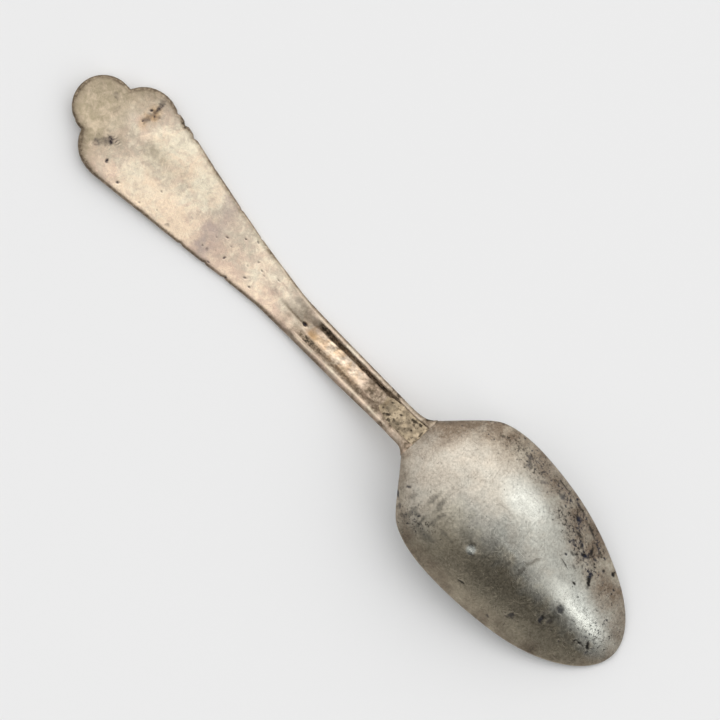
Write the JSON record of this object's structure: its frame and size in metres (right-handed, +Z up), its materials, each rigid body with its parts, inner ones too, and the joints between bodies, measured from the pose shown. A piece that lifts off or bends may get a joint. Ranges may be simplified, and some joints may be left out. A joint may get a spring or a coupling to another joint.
{
  "type": "souvenir spoon",
  "caption": "Small collector's spoon with a three-lobed end, tapering flat blade, hollow-backed stem and a pointed oval bowl, lying face down.",
  "frame": {"origin": "centre of the bounding box at table height (z = 0 is the surface the spoon lies on, face down)", "axes": "+X along the spoon from the lobed end towards the bowl's tip; +Z up, out of the convex back; +Y completes the right-handed frame"},
  "size_m": [0.114, 0.0243, 0.0126],
  "materials": {
    "silver_bowl": "worn satin silver with fine scratches, grey and brown tarnish towards the edges",
    "silver_handle": "worn silver with warm tarnish, dark in the channel",
    "solder": "rough porous hard solder, yellowish, darkened"
  },
  "bodies": {
    "root": {"bowl": "silver_bowl", "handle": "silver_handle", "heel_solder": "solder"}
  },
  "joints": []
}
